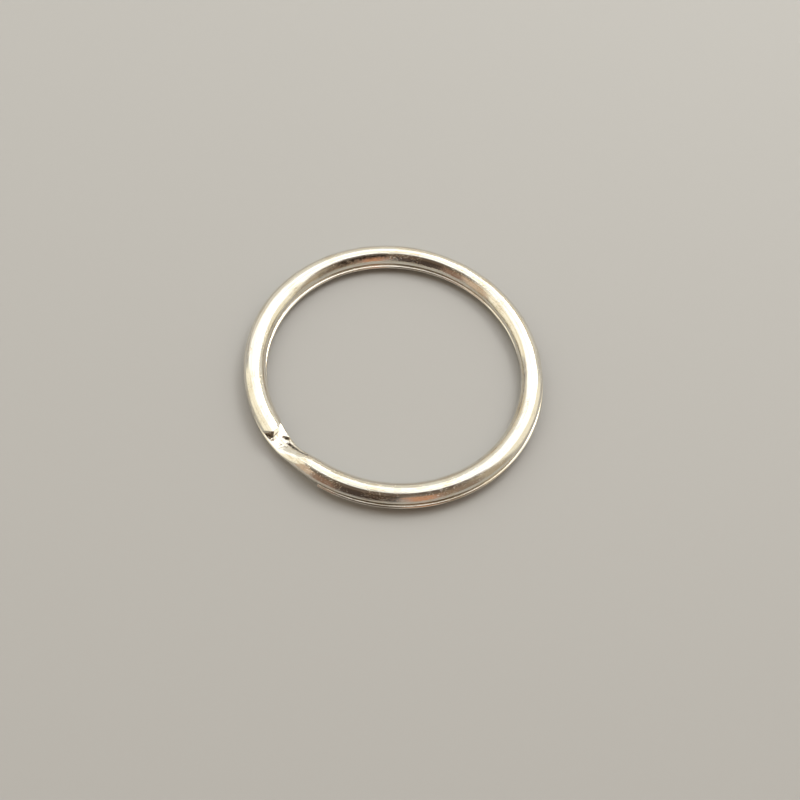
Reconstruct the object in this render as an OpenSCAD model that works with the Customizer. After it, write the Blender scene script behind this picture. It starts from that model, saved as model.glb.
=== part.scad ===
// Split key ring: one length of half-round wire, coiled into two flat turns.
// It lies flat on z = 0 with its axis on z. The wire starts at the cropped end of
// the upper turn, goes once round, steps down in front of that end to the lower
// turn, and goes round again below the first. Angles are in degrees, from +X to +Y.

/* [Ring] */
// Outside diameter of each turn
ring_d = 30; // [24:0.5:50]
// Gap between the flat faces of the two turns
turn_gap = 0.06; // [0.05:0.01:0.3]
// How far the lower turn has slipped sideways from the upper one
turn_slip = 0.3; // [0:0.02:0.8]
// Direction of that slip
slip_at = 303; // [0:1:359]

/* [Wire] */
// Width of the wire, across the ring
wire_w = 2.18; // [1.8:0.02:3.6]
// Thickness of the wire, from its flat face to the top of its crown
wire_t = 1; // [0.8:0.02:1.6]
// Rounding of the two edges of the flat face
edge_r = 0.18; // [0.1:0.01:0.3]

/* [Step] */
// Middle of the step between the two turns
step_at = 237; // [225:0.5:255]
// Length of the step's rise
step_arc = 16; // [12:0.5:28]
// Length of the lead, where the lower turn bends towards the step
lead_arc = 8; // [6:0.5:14]
// Length of the tail, where the step straightens into the upper turn
tail_arc = 5; // [2:0.5:10]
// How far the outside of the wire is squeezed in at the middle of the step
outer_dip = 0.12; // [0:0.02:0.4]
// How far the inside of the wire is squeezed out at the middle of the step
inner_nip = 0.24; // [0:0.02:0.5]

/* [Ends] */
// How far the upper turn's end stops short of the step
upper_end_gap = 3; // [2:0.5:8]
// How far the lower turn's end stops short of the tail
lower_end_gap = 0.5; // [0.5:0.5:4]
// Width of the cut across each corner of both ends
corner_cut = 0.7; // [0.2:0.05:0.8]

/* [Hidden] */
$fn = 180;
// Facets of the step: sections along it, and points on each face of a section
step_sections = 24;
face_points = 12;
// The step's ends are this share slimmer than the turns, and reach this far into them
seat_slack = 0.01;
seat_arc = 0.5;
// How far a turn runs on past its end before the end is cut
end_spare = 2;
// How far the corner cuts go back along the wire, for their width
corner_slope = 1.2;

// The wire's section: an arc for the crown, narrow upright sides, and a rounding at each edge
// of the flat face. The crown's arc would touch both roundings at meet_x from the middle
wire_r = (ring_d - wire_w) / 2;
flat_half = wire_w / 2 - edge_r;
crown_r = (pow(flat_half, 2) / (wire_t - 2 * edge_r) + wire_t) / 2;
crown_y = wire_t - crown_r;
meet_x = flat_half * crown_r / (crown_r - edge_r);

// Where the step, its lead and tail and the two ends come on the ring
step_foot = step_at - step_arc / 2;
lead_start = step_foot - lead_arc;
tail_end = step_at + step_arc / 2 + tail_arc;
upper_end = step_foot - upper_end_gap;
lower_end = tail_end + lower_end_gap;

// The wire's flat face lies at this height: rise 0 is the lower turn, 1 the upper one
function flat_z(rise) = wire_t + turn_gap * rise;
function turn_centre(rise) = turn_slip * (0.5 - rise) * [cos(slip_at), sin(slip_at)];
function ease(x) = let (t = max(0, min(1, x))) t * t * t * (t * (6 * t - 15) + 10);
function wave(x) = (1 - cos(180 * max(0, min(1, x)))) / 2;
function squeeze(a) =
    wave(min((a - lead_start) / (step_at - lead_start), (tail_end - a) / (tail_end - step_at)));
function arc_y(r, x) = sqrt(max(0, r * r - x * x));

// Heights of the crown and of the flat face above and below the wire's widest line
function crown_rise(x) = abs(x) < meet_x ? crown_y + arc_y(crown_r, x) - edge_r : edge_drop(x);
function edge_drop(x) = arc_y(edge_r, max(0, abs(x) - flat_half));

// One section of the step, at angle a: its crown sinks from top to bottom as a falls
function step_section(a) =
    let (
        rise = ease((a - step_foot) / step_arc),
        centre = turn_centre(ease((a - lead_start) / (tail_end - lead_start))),
        outer = ring_d / 2 - outer_dip * squeeze(a),
        inner = ring_d / 2 - wire_w + inner_nip * squeeze(a),
        waist = flat_z(rise) + edge_r * (2 * rise - 1),
        slim = 1 - seat_slack
    )
    [for (k = [0:2 * face_points - 1])
        let (
            x = cos(180 * k / face_points),
            crown = crown_rise(x * wire_w / 2),
            edge = edge_drop(x * wire_w / 2),
            r = (outer + inner) / 2 + slim * x * (outer - inner) / 2,
            z = k < face_points ? rise * crown + (1 - rise) * edge : -rise * edge - (1 - rise) * crown
        )
        [centre.x + r * cos(a), centre.y + r * sin(a), waist + slim * z]];

// One turn of the wire, from one angle to another, with its crown up or down
module turn(rise, from, to) {
    translate(turn_centre(rise))
        translate([0, 0, flat_z(rise)])
        mirror([0, 0, 1 - rise])
        rotate_extrude(start = from, angle = to - from)
        translate([wire_r, 0])
        wire_section();
}

module wire_section() {
    intersection() {
        translate([0, crown_y]) circle(crown_r);
        union() {
            translate([-wire_w / 2, edge_r]) square([wire_w, wire_t]);
            translate([-flat_half, 0]) square([2 * flat_half, wire_t]);
            for (side = [-1, 1]) {
                translate([side * flat_half, edge_r]) circle(edge_r);
            }
        }
    }
}

// What is cut off an end: all past an upright face with both its corners cut back.
// Side 1 is an end that faces growing angles, and -1 one that faces falling angles
module cut_off(rise, at, side) {
    nose = wire_w / 2 - corner_cut;
    reach = wire_w;
    back = corner_slope * (nose - reach);
    left = [[-reach, reach], [-reach, back], [-nose, 0]];
    right = [[nose, 0], [reach, back], [reach, reach]];
    translate(turn_centre(rise))
        rotate(at)
        translate([wire_r, 0, -wire_t])
        mirror([0, (1 - side) / 2, 0])
        linear_extrude(4 * wire_t)
        polygon(concat(right, left));
}

// The step between the turns, with its lead and tail, as one smooth sweep
module step() {
    ring = 2 * face_points;
    from = lead_start - seat_arc;
    pitch = (tail_end - lead_start + 2 * seat_arc) / step_sections;
    points = [for (i = [0:step_sections]) each step_section(from + i * pitch)];
    sides = [for (i = [0:step_sections - 1], k = [0:ring - 1])
        let (a = i * ring + k, b = i * ring + (k + 1) % ring)
        each [[a, b, a + ring], [b, b + ring, a + ring]]];
    first = [for (k = [ring - 1:-1:0]) k];
    last = [for (k = [0:ring - 1]) step_sections * ring + k];
    polyhedron(points, concat([first], sides, [last]));
}

module split_ring() {
    color([0.83, 0.81, 0.75]) {
        difference() {
            turn(1, tail_end, 360 + upper_end + end_spare);
            cut_off(1, upper_end, 1);
        }
        difference() {
            turn(0, lower_end - end_spare, 360 + lead_start);
            cut_off(0, lower_end, -1);
        }
        step();
    }
}

split_ring();
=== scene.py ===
import math

import bpy
import numpy as np
from mathutils import Matrix, Vector


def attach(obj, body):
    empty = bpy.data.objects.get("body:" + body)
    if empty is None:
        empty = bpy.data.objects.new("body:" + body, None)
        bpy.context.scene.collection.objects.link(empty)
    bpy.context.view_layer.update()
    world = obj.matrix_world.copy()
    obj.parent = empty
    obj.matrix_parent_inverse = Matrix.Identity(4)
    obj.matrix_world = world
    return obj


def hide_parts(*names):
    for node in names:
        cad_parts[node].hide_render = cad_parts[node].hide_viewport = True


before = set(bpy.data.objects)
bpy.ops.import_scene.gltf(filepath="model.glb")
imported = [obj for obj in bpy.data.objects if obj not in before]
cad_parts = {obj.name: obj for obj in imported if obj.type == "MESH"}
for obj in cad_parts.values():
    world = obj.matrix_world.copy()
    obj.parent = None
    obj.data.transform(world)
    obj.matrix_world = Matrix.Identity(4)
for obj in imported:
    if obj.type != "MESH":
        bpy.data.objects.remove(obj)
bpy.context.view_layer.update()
mm = 0.001
print("frame loaded")


view = {
    "place": (1.0745, -46.5965, 76.899),  # millimetres
    "tilt": 29.552,                       # degrees off straight down
    "roll": 11.234,
    "lens": 39.87,                        # millimetres, as the next is
    "sensor": 36,
    "near": 0.004,                        # metres, as the next is
    "far": 20,
}


def makeCamera():
    cameraData = bpy.data.cameras.new("camera")
    cameraData.lens = view["lens"]
    cameraData.sensor_width = view["sensor"]
    cameraData.clip_start = view["near"]
    cameraData.clip_end = view["far"]
    camera = bpy.data.objects.new("camera", cameraData)
    bpy.context.collection.objects.link(camera)
    tilt = Matrix.Rotation(math.radians(view["tilt"]), 4, "X")
    roll = Matrix.Rotation(math.radians(view["roll"]), 4, "Z")
    camera.matrix_world = Matrix.Translation(Vector(view["place"]) * mm) @ tilt @ roll
    bpy.context.scene.camera = camera


makeCamera()
print("camera set")


# The wire is one sweep. Its unrolled angle runs from the upper end, round the upper turn,
# down the step and round the lower turn to the lower end. Lengths are in millimetres
wire = {
    "ringWidth": 30.0,
    "width": 2.18,
    "thickness": 1.0,
    "edge": 0.18,             # rounding of the flat face's two edges
    "roll": 7.0,              # degrees that the crown faces inwards
    "rollSwing": 2.5,         # and how much that varies round the ring
    "rollAngle": 100,         # where it is most
    "rollLoss": 0.9,          # share of it that the step takes away
    "turnGap": 0.06,
    "slip": 0.3,              # sideways slip between the turns
    "slipAngle": 303,
    "leadStart": 221,
    "stepFoot": 228.2,
    "stepMiddle": 237,
    "stepTop": 244.2,
    "rampBend": 0.27,         # share of the step that bends at each end
    "tailEnd": 250,
    "outerDip": 0.12,         # how far the step is squeezed in outside
    "innerNip": 0.24,         # and inside
    "upperEnd": 586.0,        # one full turn past 226
    "lowerEnd": -109.5,
    "noseHalf": 0.38,         # the middle of the upper end that its corner cuts leave
    "noseSlant": 1.2,         # degrees that it falls back for each millimetre inwards
    "cutOuter": 5.6,          # and that a corner falls back for each millimetre past it
    "cutInner": 4.8,
    "cutSoft": 0.12,          # millimetres over which a cut begins
    "cutReach": 7,            # degrees over which the sections go over to the end's shape
    "trim": 0.016,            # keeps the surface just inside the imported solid, in height
    "sideTrim": 0.008,        # and in width
}

mesh = {
    "facePoints": 40,         # points on each face of the section
    "plainStep": 1.1,         # degrees between sections
    "fineStep": 0.1,
    "shortest": 0.03,         # a section nearer than this to the last one is left out
    "fineParts": ((581.5, 590), (220, 252), (-112, -106)),
    "capRings": (0.985, 0.96, 0.92, 0.86, 0.78, 0.69, 0.6, 0.5, 0.4, 0.3, 0.2, 0.1),
    "markFloor": -0.02,       # the marks stay above this height in the wire, in millimetres
}

# Dents and burrs, and patches of painted shade and painted dark reflection: start and end as
# unrolled angle and millimetres across, then half-width, depth, and the dirt and painted shade that
# the mark holds. A negative depth stands proud
marks = {
    # The notches are real dents; their dark fill is painted shade, the shadow in the gap under the
    # upper end
    "notch": ((227.0, -0.46), (228.8, -0.80), 0.07, 0.15, 0.9),
    "notchDeep": ((228.2, -0.66), (228.9, -0.84), 0.11, 0.14, 0.9),
    "bead": ((229.9, -0.72), (230.4, -0.80), 0.07, -0.06, 0),
    "groove": ((230.3, -0.42), (235.5, -0.44), 0.06, 0.06, 0.8),
    # The trough is a shallow dent; its dark fill is painted shade and painted dark reflection on
    # the step's inner wall
    "trough": ((231.2, -0.55), (241.5, -0.64), 0.13, 0.05, 1.0),
    "lip": ((229.5, -0.84), (241.0, -0.88), 0.05, -0.035, 0),
    "pressA": ((229.1, 0.36), (229.4, 0.18), 0.06, 0.04, 0.2),
    "pressB": ((230.8, 0.06), (231.9, -0.06), 0.07, 0.04, 0.4),
    "pressEdge": ((230.2, 0.70), (230.7, 0.25), 0.05, 0.016, 0),
    "pressFoot": ((225.5, 0.62), (225.9, 0.58), 0.06, 0.04, 0.6),
    "burrA": ((245.2, 0.34), (245.6, 0.40), 0.05, -0.018, 0),
    "burrB": ((246.1, 0.18), (246.3, 0.44), 0.045, -0.018, 0),
    "burrC": ((245.9, 0.02), (246.2, 0.06), 0.04, 0.03, 0.2),
    "innerNick": ((317.2, -0.90), (318.6, -0.96), 0.06, 0.04, 0.5),
    "wallMarkA": ((272.6, 0.56), (272.9, 0.40), 0.03, 0.014, 0),
    "wallMarkB": ((275.5, 0.64), (275.7, 0.46), 0.03, 0.016, 0),
    "wallMarkC": ((278.6, 0.44), (279.2, 0.74), 0.03, 0.014, 0),
    "wallMarkD": ((281.8, 0.36), (282.1, 0.44), 0.035, 0.014, 0),
    "endPit": ((584.6, -0.36), (585.0, -0.28), 0.07, 0.05, 0.8),
    "endScoreA": ((583.9, -0.62), (584.5, 0.02), 0.04, 0.02, 0.2),
    "endScoreB": ((583.2, -0.80), (584.0, -0.50), 0.04, 0.02, 0.2),
    # These two make no dent: they are painted dark reflection on the far side's inner wall, mottled
    "paintedReflectionFar": ((465.0, -0.50), (486.0, -0.64), 0.20, 0, 0.85),
    "paintedReflectionSpeckled": ((484.0, -0.62), (498.0, -0.78), 0.20, 0, 0.4),
}

# Low waves left by coiling and pressing
waves = {
    "seed": 11,
    "count": 26,
    "length": (0.7, 3.5),
    "height": 0.0011,         # for each two millimetres of length
    "phase": 6.28,
}


def ease(x):
    x = np.clip(x, 0, 1)
    return x * x * x * (x * (6 * x - 15) + 10)


# A plain slope with a short bend at each end
def rampRise(x):
    x = np.clip(x, 0, 1)
    bend = wire["rampBend"]
    low = x * x / (2 * bend)
    high = 1 - bend - (1 - x) ** 2 / (2 * bend)
    return np.where(x < bend, low, np.where(x > 1 - bend, high, x - bend / 2)) / (1 - bend)


def squeeze(angle):
    rising = (angle - wire["leadStart"]) / (wire["stepMiddle"] - wire["leadStart"])
    falling = (wire["tailEnd"] - angle) / (wire["tailEnd"] - wire["stepMiddle"])
    return (1 - np.cos(np.pi * np.clip(np.minimum(rising, falling), 0, 1))) / 2


def arcHeight(radius, x):
    return np.sqrt(np.maximum(0, radius * radius - x * x))


# Heights of the crown and of the flat face from the wire's widest line
def sectionHeights(x):
    flatHalf = wire["width"] / 2 - wire["edge"]
    crownRadius = (flatHalf ** 2 / (wire["thickness"] - 2 * wire["edge"]) + wire["thickness"]) / 2
    crownMiddle = wire["thickness"] - crownRadius
    meet = flatHalf * crownRadius / (crownRadius - wire["edge"])
    edgeDrop = arcHeight(wire["edge"], np.maximum(0, np.abs(x) - flatHalf))
    crownRise = crownMiddle + arcHeight(crownRadius, x) - wire["edge"]
    return np.where(np.abs(x) < meet, crownRise, edgeDrop), edgeDrop


# Points of the wire, and their places within it as millimetres across, up and along
def wirePoint(angle, across, upper, inset=1.0):
    angle, across = np.broadcast_arrays(angle, across)
    rise = rampRise((angle - wire["stepFoot"]) / (wire["stepTop"] - wire["stepFoot"]))
    moved = ease((angle - wire["leadStart"]) / (wire["tailEnd"] - wire["leadStart"]))
    slide = wire["slip"] * (0.5 - moved)
    slipTurn = math.radians(wire["slipAngle"])
    pressed = squeeze(angle)
    outer = wire["ringWidth"] / 2 - wire["sideTrim"] - wire["outerDip"] * pressed
    inner = wire["ringWidth"] / 2 + wire["sideTrim"] - wire["width"] + wire["innerNip"] * pressed
    crown, edge = sectionHeights(across * wire["width"] / 2)
    waist = wire["thickness"] + wire["turnGap"] * rise + wire["edge"] * (2 * rise - 1)
    beside = inset * across * (outer - inner) / 2
    up = rise * crown + (1 - rise) * edge
    down = -rise * edge - (1 - rise) * crown
    height = inset * np.where(upper, up, down) * (1 - 2 * wire["trim"])
    swing = wire["rollSwing"] * np.cos(np.radians(angle - wire["rollAngle"]))
    roll = np.radians((wire["roll"] + swing) * (1 - wire["rollLoss"] * pressed))
    radius = (outer + inner) / 2 + np.cos(roll) * beside - np.sin(roll) * height
    lift = np.cos(roll) * height + np.sin(roll) * beside
    turn = np.radians(angle)
    place = np.stack([slide * math.cos(slipTurn) + radius * np.cos(turn),
                      slide * math.sin(slipTurn) + radius * np.sin(turn), waist + lift], -1)
    middle = (wire["ringWidth"] - wire["width"]) / 2
    inside = np.stack([inset * across * wire["width"] / 2, height, turn * middle], -1)
    return place, inside


# Degrees that the upper end falls back at a place across it
def cornerBack(across):
    x = across * wire["width"] / 2
    past = np.maximum(0, np.abs(x) - wire["noseHalf"])
    rate = np.where(x > 0, wire["cutOuter"], wire["cutInner"])
    slant = wire["noseSlant"] * np.maximum(0, wire["noseHalf"] - x)
    return rate * past * past / (past + wire["cutSoft"]) + slant


def wireStations():
    stations = [wire["upperEnd"]]
    while stations[-1] > wire["lowerEnd"]:
        fine = any(low < stations[-1] < high for low, high in mesh["fineParts"])
        stations.append(stations[-1] - (mesh["fineStep"] if fine else mesh["plainStep"]))
    stations[-1] = wire["lowerEnd"]
    if stations[-2] - stations[-1] < mesh["shortest"]:
        del stations[-2]
    return np.array(stations)[:, None]


# How deep the marks and waves go at each point, and how much dirt and painted shade the marks hold
def markDepth(angle, inside, place):
    depth, dirtAndShade = np.zeros(angle.shape), np.zeros(angle.shape)
    across, up, along = inside[..., 0], inside[..., 1], inside[..., 2]
    perDegree = math.radians((wire["ringWidth"] - wire["width"]) / 2)
    for (startAngle, startAcross), (endAngle, endAcross), half, deep, dirtAndShadeHeld in marks.values():
        start = np.array([startAngle * perDegree, startAcross])
        run = np.array([endAngle * perDegree, endAcross]) - start
        fromStart = np.stack([along, across], -1) - start
        share = np.clip((fromStart @ run) / (run @ run), 0, 1)
        away = np.linalg.norm(fromStart - share[..., None] * run, axis=-1)
        near = np.exp(-(away / half) ** 2) * (up > mesh["markFloor"])
        depth += deep * near
        dirtAndShade += dirtAndShadeHeld * near
    dice = np.random.default_rng(waves["seed"])
    for _ in range(waves["count"]):
        length = dice.uniform(*waves["length"])
        heading = dice.normal(size=3)
        heading *= 2 * math.pi / length / np.linalg.norm(heading)
        phase = dice.uniform(0, waves["phase"])
        depth += waves["height"] * length / 2 * np.sin(place @ heading + phase)
    return depth, np.minimum(dirtAndShade, 1)


# Outward normals of the grid of points
def surfaceNormals(grid):
    alongWire = np.gradient(grid, axis=0)
    aroundWire = np.roll(grid, -1, 1) - np.roll(grid, 1, 1)
    normals = np.cross(aroundWire, alongWire)
    normals /= np.linalg.norm(normals, axis=-1, keepdims=True)
    return normals


# Quads between two rings of points, each given by the number of its first point
def ringFaces(first, second, count):
    pairs = [(k, (k + 1) % count) for k in range(count)]
    return [(first + k, first + n, second + n, second + k) for k, n in pairs]


def buildWire():
    count = 2 * mesh["facePoints"]
    across = np.cos(np.pi * np.arange(count) / mesh["facePoints"])
    upper = np.arange(count) < mesh["facePoints"]
    stations = wireStations()
    nearUpper = ease(1 - (wire["upperEnd"] - stations) / wire["cutReach"])
    angles = stations - cornerBack(across) * nearUpper
    grid, inside = wirePoint(angles, across, upper)
    depth, dirtAndShade = markDepth(angles, inside, grid)
    grid = grid - surfaceNormals(grid) * depth[..., None]
    points, places = [grid.reshape(-1, 3)], [inside.reshape(-1, 3)]
    faces = []
    for i in range(len(stations) - 1):
        faces += ringFaces(i * count, (i + 1) * count, count)
    total = dirtAndShade.size
    ends = ((wire["upperEnd"], True, 0), (wire["lowerEnd"], False, total - count))
    for end, isUpper, last in ends:
        for scale in (*mesh["capRings"], 0.0):
            capAcross = across if scale else np.zeros(1)
            back = cornerBack(capAcross * scale) if isUpper else 0 * capAcross
            capPoints, capPlaces = wirePoint(end - back, capAcross, upper[:capAcross.size], scale)
            points.append(capPoints)
            places.append(capPlaces)
            if scale:
                faces += ringFaces(total, last, count) if isUpper else ringFaces(last, total, count)
                last = total
            total += capAcross.size
        for k in range(count):
            tip = (last + k, last + (k + 1) % count, total - 1)
            faces.append(tip[::-1] if isUpper else tip)
    data = bpy.data.meshes.new("keyRing")
    data.from_pydata((np.concatenate(points) * mm).tolist(), [], faces)
    data.update()
    data.shade_smooth()
    wireSpace = data.attributes.new("wireSpace", "FLOAT_VECTOR", "POINT")
    wireSpace.data.foreach_set("vector", np.concatenate(places).astype(np.float32).ravel())
    # Each point's share of dirt and of painted shade and painted dark reflection, from the marks
    dirtAndPaintedShade = data.attributes.new("dirtAndPaintedShade", "FLOAT", "POINT")
    dirtAndShadeValues = np.concatenate([dirtAndShade.ravel(), np.zeros(total - dirtAndShade.size)])
    dirtAndPaintedShade.data.foreach_set("value", dirtAndShadeValues.astype(np.float32))
    piece = bpy.data.objects.new("key_ring", data)
    bpy.context.collection.objects.link(piece)
    return piece


keyRing = buildWire()
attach(keyRing, "root")
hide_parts("split_ring")
print("wire built:", len(keyRing.data.vertices), "points,", len(keyRing.data.polygons), "faces")


nickel = {
    "colour": (0.80, 0.76, 0.68, 1),
    "tarnish": (0.60, 0.49, 0.32, 1),
    "tarnishShare": 0.5,
    # Near-black colour for the marks' dirt, also used as painted shade and painted dark reflection
    "dirtAndShade": (0.05, 0.035, 0.025, 1),
    "polish": 0.06,           # lowest roughness
    "dull": 0.15,             # highest
    "mostWear": 1.2,          # wear at which it is highest
    "speckWear": 0.5,
    "speckStain": 0.5,
    # Each two ends of a range, and what they become
    "hazeSpecks": (0.42, 0.60, 0.25, 1.0),
    "hazeStain": (0.45, 0.75, 0, 0.6),
    "hazeWear": (0.40, 0.70, 0, 0.35),
    "lineWear": (0.35, 0.75, 0, 0.5),
    "lineHeight": 0.014 * mm,
    "fineLineHeight": 0.005 * mm,
    "speckHeight": 0.009 * mm,
    "scratchHeight": 0.012 * mm,
}

# Noise in the wire's own space. Scales are counts per millimetre across, up and along the wire
grains = {
    "haze": dict(scale=(0.5, 0.5, 0.5), detail=3),
    "lines": dict(scale=(4.5, 4.5, 0.05), detail=3),
    "fineLines": dict(scale=(14.0, 14.0, 0.2), detail=2),
    "goldLines": dict(scale=(5.5, 5.5, 0.04), detail=2, limits=(0.52, 0.64, 0, 0.75)),
    "specks": dict(scale=(7.0, 7.0, 7.0), detail=2, limits=(0.56, 0.68)),
    "mottle": dict(scale=(6.0, 6.0, 3.0), detail=3, limits=(0.36, 0.58, 0.45, 1.1)),
    "patches": dict(scale=(0.35, 0.35, 0.28), detail=2, limits=(0.48, 0.62)),
    "strayOne": dict(scale=(1.5, 30.0, 5.0), detail=1, turn=(0.0, 0.5, 0.3), limits=(0.70, 0.76)),
    "strayTwo": dict(scale=(2.0, 24.0, 3.5), detail=1, turn=(0.4, -0.9, 0.0), limits=(0.71, 0.77)),
}


def nickelMaterial():
    material = bpy.data.materials.new("nickelPlate")
    material.use_nodes = True
    nodes, links = material.node_tree.nodes, material.node_tree.links
    shader = nodes["Principled BSDF"]
    shader.inputs["Metallic"].default_value = 1
    inWire = nodes.new("ShaderNodeAttribute")
    inWire.attribute_name = "wireSpace"

    def spread(value, low, high, start=0.0, end=1.0):
        ranged = nodes.new("ShaderNodeMapRange")
        ranged.interpolation_type = "SMOOTHSTEP"
        numbers = {"From Min": low, "From Max": high, "To Min": start, "To Max": end}
        for name, number in numbers.items():
            ranged.inputs[name].default_value = number
        links.new(value, ranged.inputs["Value"])
        return ranged.outputs[0]

    def grain(name):
        facts = grains[name]
        mapping = nodes.new("ShaderNodeMapping")
        mapping.inputs["Scale"].default_value = facts["scale"]
        mapping.inputs["Rotation"].default_value = facts.get("turn", (0, 0, 0))
        links.new(inWire.outputs["Vector"], mapping.inputs["Vector"])
        texture = nodes.new("ShaderNodeTexNoise")
        texture.inputs["Scale"].default_value = 1
        texture.inputs["Detail"].default_value = facts["detail"]
        links.new(mapping.outputs[0], texture.inputs["Vector"])
        value = texture.outputs[0]
        return spread(value, *facts["limits"]) if "limits" in facts else value

    def joined(kind, one, other):
        maths = nodes.new("ShaderNodeMath")
        maths.operation = kind
        for socket, value in zip(maths.inputs, (one, other)):
            if isinstance(value, (int, float)):
                socket.default_value = value
            else:
                links.new(value, socket)
        return maths.outputs[0]

    def bumped(height, distance, under=None):
        bump = nodes.new("ShaderNodeBump")
        bump.inputs["Distance"].default_value = distance
        links.new(height, bump.inputs["Height"])
        if under:
            links.new(under, bump.inputs["Normal"])
        return bump.outputs[0]

    def colourMix():
        mix = nodes.new("ShaderNodeMix")
        mix.data_type = "RGBA"
        return mix

    haze, lines = grain("haze"), grain("lines")
    stray = joined("MAXIMUM", grain("strayOne"), grain("strayTwo"))
    scratches = joined("MULTIPLY", stray, grain("patches"))
    wornSpecks = joined("MULTIPLY", grain("specks"), spread(haze, *nickel["hazeSpecks"]))

    tint = colourMix()
    tint.inputs["A"].default_value = nickel["colour"]
    tint.inputs["B"].default_value = nickel["tarnish"]
    speckStain = joined("MULTIPLY", wornSpecks, nickel["speckStain"])
    stain = joined("ADD", spread(haze, *nickel["hazeStain"]), speckStain)
    stain = joined("ADD", stain, grain("goldLines"))
    links.new(joined("MULTIPLY", stain, nickel["tarnishShare"]), tint.inputs["Factor"])

    # The marks' dirt and painted shade darken the colour here, mottled
    dirtAndPaintedShade = nodes.new("ShaderNodeAttribute")
    dirtAndPaintedShade.attribute_name = "dirtAndPaintedShade"
    dirtAndShadeMix = colourMix()
    dirtAndShadeMix.inputs["B"].default_value = nickel["dirtAndShade"]
    links.new(joined("MULTIPLY", dirtAndPaintedShade.outputs["Fac"], grain("mottle")), dirtAndShadeMix.inputs["Factor"])
    links.new(tint.outputs["Result"], dirtAndShadeMix.inputs["A"])
    links.new(dirtAndShadeMix.outputs["Result"], shader.inputs["Base Color"])

    worn = joined("ADD", spread(lines, *nickel["lineWear"]), spread(haze, *nickel["hazeWear"]))
    marked = joined("MULTIPLY", joined("MAXIMUM", scratches, wornSpecks), nickel["speckWear"])
    worn = joined("ADD", worn, marked)
    roughness = spread(worn, 0, nickel["mostWear"], nickel["polish"], nickel["dull"])
    links.new(roughness, shader.inputs["Roughness"])

    normal = bumped(lines, nickel["lineHeight"])
    normal = bumped(grain("fineLines"), nickel["fineLineHeight"], normal)
    normal = bumped(joined("SUBTRACT", 1.0, wornSpecks), nickel["speckHeight"], normal)
    normal = bumped(joined("SUBTRACT", 1.0, scratches), nickel["scratchHeight"], normal)
    links.new(normal, shader.inputs["Normal"])
    return material


keyRing.data.materials.append(nickelMaterial())
print("nickel finished")


# Lengths in the studio are in metres
studio = {
    "floorColour": (0.47, 0.468, 0.46, 1),
    "floorRoughness": 0.7,
    "floorHalf": 0.55,
    "fillColour": (0.17, 0.16, 0.14, 1),
    "backdropColour": (0.46, 0.45, 0.43, 1),  # what the camera and the metal see of the world
}


def makePlane(name, halfWidth, halfHeight):
    data = bpy.data.meshes.new(name)
    corners = [(-halfWidth, -halfHeight, 0), (halfWidth, -halfHeight, 0),
               (halfWidth, halfHeight, 0), (-halfWidth, halfHeight, 0)]
    data.from_pydata(corners, [], [(0, 1, 2, 3)])
    plane = bpy.data.objects.new(name, data)
    bpy.context.collection.objects.link(plane)
    material = bpy.data.materials.new(name)
    material.use_nodes = True
    data.materials.append(material)
    return plane, material.node_tree


def makeFloor():
    _, tree = makePlane("floor", studio["floorHalf"], studio["floorHalf"])
    shader = tree.nodes["Principled BSDF"]
    shader.inputs["Base Color"].default_value = studio["floorColour"]
    shader.inputs["Roughness"].default_value = studio["floorRoughness"]


# Soft cards round the ring. Each faces it from an azimuth and elevation in degrees, and fades
# to nothing over a share of its width, and of its height below and above
cards = {
    "keyLamp": dict(azimuth=64, elevation=50, distance=0.39, size=(0.28, 0.17),
                    colour=(1, 0.98, 0.93), strength=6.5, feather=(0.6, 0.6, 0.6)),
    "softbox": dict(azimuth=90, elevation=65, distance=0.40, size=(1.30, 0.434),
                    colour=(1, 0.99, 0.96), strength=1.65, feather=(0.25, 0.45, 0.30)),
    "backWash": dict(azimuth=98, elevation=24, distance=0.52, size=(1.7, 0.58),
                     colour=(1, 0.96, 0.85), strength=0.84, feather=(0.4, 0.8, 0.8)),
    "creamLeft": dict(azimuth=187, elevation=28, distance=0.5, size=(0.52, 0.84),
                      colour=(1, 0.95, 0.78), strength=1.2, feather=(0.35, 0.35, 0.35)),
    "creamRight": dict(azimuth=18, elevation=22, distance=0.5, size=(0.46, 0.62),
                       colour=(1, 0.94, 0.77), strength=1.08, feather=(0.5, 0.4, 0.4)),
    "tanLeft": dict(azimuth=222, elevation=24, distance=0.42, size=(0.22, 0.66),
                    colour=(0.68, 0.53, 0.40), strength=1, feather=(0.6, 0.3, 0.3)),
    "brownLeft": dict(azimuth=243, elevation=24, distance=0.38, size=(0.17, 0.62),
                      colour=(0.28, 0.18, 0.13), strength=1, feather=(0.6, 0.3, 0.3)),
    "copperRight": dict(azimuth=301, elevation=20, distance=0.37, size=(0.19, 0.50),
                        colour=(0.58, 0.30, 0.175), strength=1, feather=(0.9, 0.4, 0.4)),
    "greyRight": dict(azimuth=323, elevation=24, distance=0.41, size=(0.22, 0.66),
                      colour=(0.28, 0.21, 0.155), strength=1, feather=(0.5, 0.3, 0.3)),
    "tanRight": dict(azimuth=345, elevation=28, distance=0.43, size=(0.20, 0.70),
                     colour=(0.47, 0.40, 0.30), strength=1, feather=(0.6, 0.3, 0.3)),
    "darkFlag": dict(azimuth=268, elevation=24, distance=0.36, size=(0.32, 0.68),
                     colour=(0.07, 0.052, 0.042), strength=1, feather=(0.6, 0.3, 0.3)),
    "overheadFlag": dict(azimuth=288, elevation=70, distance=0.39, size=(0.56, 0.27),
                         colour=(0.15, 0.115, 0.09), strength=1, feather=(0.35, 0.4, 0.45)),
}


# One socket made of several by maths nodes in a row
def chained(tree, kind, sockets):
    result = sockets[0]
    for socket in sockets[1:]:
        maths = tree.nodes.new("ShaderNodeMath")
        maths.operation = kind
        tree.links.new(result, maths.inputs[0])
        tree.links.new(socket, maths.inputs[1])
        result = maths.outputs[0]
    return result


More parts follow.
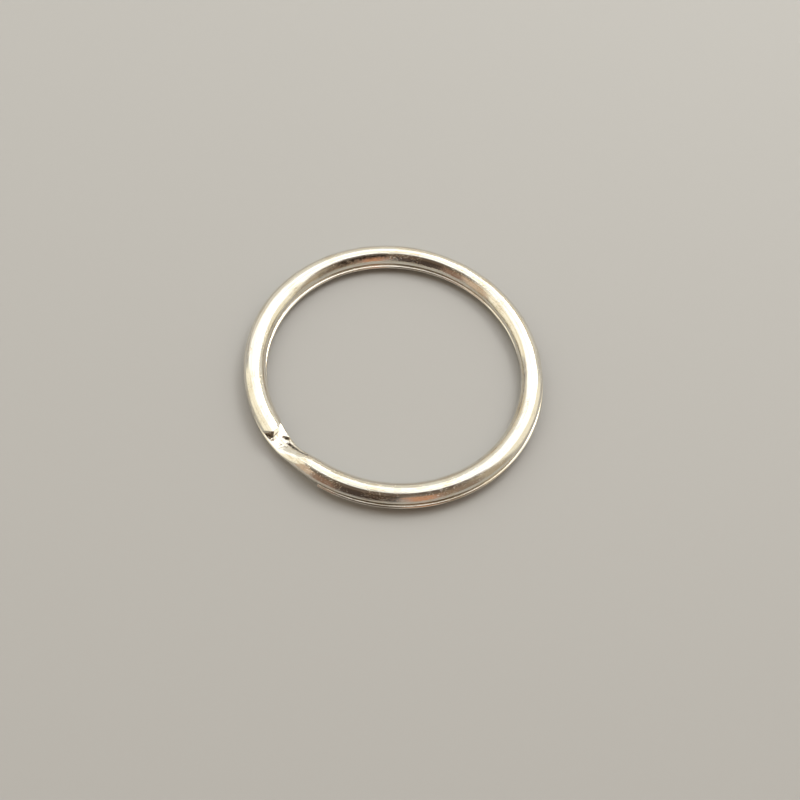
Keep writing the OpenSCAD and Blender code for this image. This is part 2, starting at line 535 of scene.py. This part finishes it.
def mixShaders(tree, share, under, over, output):
    mix = tree.nodes.new("ShaderNodeMixShader")
    for socket, source in zip(mix.inputs, (share, under.outputs[0], over.outputs[0])):
        tree.links.new(source, socket)
    tree.links.new(mix.outputs[0], output.inputs["Surface"])


def makeCard(name, azimuth, elevation, distance, size, colour, strength, feather):
    halfWidth, halfHeight = size[0] / 2, size[1] / 2
    card, tree = makePlane(name, halfWidth, halfHeight)
    az, el = math.radians(azimuth), math.radians(elevation)
    toward = Vector((math.cos(el) * math.cos(az), math.cos(el) * math.sin(az), math.sin(el)))
    card.rotation_mode = "QUATERNION"
    card.rotation_quaternion = toward.to_track_quat("Z", "Y")
    card.location = toward * distance
    nodes, links = tree.nodes, tree.links
    nodes.clear()
    out = nodes.new("ShaderNodeOutputMaterial")
    clear = nodes.new("ShaderNodeBsdfTransparent")
    glow = nodes.new("ShaderNodeEmission")
    glow.inputs["Color"].default_value = (*colour, 1)
    glow.inputs["Strength"].default_value = strength
    spot = nodes.new("ShaderNodeTexCoord")
    parts = nodes.new("ShaderNodeSeparateXYZ")
    links.new(spot.outputs["Object"], parts.inputs[0])
    fades = []
    for axis, edge, share in ((0, -halfWidth, feather[0]), (0, halfWidth, feather[0]),
                              (1, -halfHeight, feather[1]), (1, halfHeight, feather[2])):
        fade = nodes.new("ShaderNodeMapRange")
        fade.interpolation_type = "SMOOTHSTEP"
        fade.inputs["From Min"].default_value = edge
        fade.inputs["From Max"].default_value = edge * (1 - share)
        links.new(parts.outputs[axis], fade.inputs["Value"])
        fades.append(fade.outputs[0])
    mixShaders(tree, chained(tree, "MULTIPLY", fades), clear, glow, out)
    card.visible_camera = False
    card.visible_shadow = False


# The world fills the shadows dimly, and looks pale to the camera and to the metal
def makeWorld():
    world = bpy.data.worlds.new("studio")
    world.use_nodes = True
    bpy.context.scene.world = world
    nodes = world.node_tree.nodes
    fill = nodes["Background"]
    fill.inputs["Color"].default_value = studio["fillColour"]
    backdrop = nodes.new("ShaderNodeBackground")
    backdrop.inputs["Color"].default_value = studio["backdropColour"]
    rays = nodes.new("ShaderNodeLightPath")
    kinds = ("Is Camera Ray", "Is Glossy Ray", "Is Transmission Ray")
    seen = chained(world.node_tree, "MAXIMUM", [rays.outputs[kind] for kind in kinds])
    mixShaders(world.node_tree, seen, fill, backdrop, nodes["World Output"])


makeFloor()
for name, facts in cards.items():
    makeCard(name, **facts)
makeWorld()
bpy.context.scene.view_settings.view_transform = "Standard"
print("studio lit")
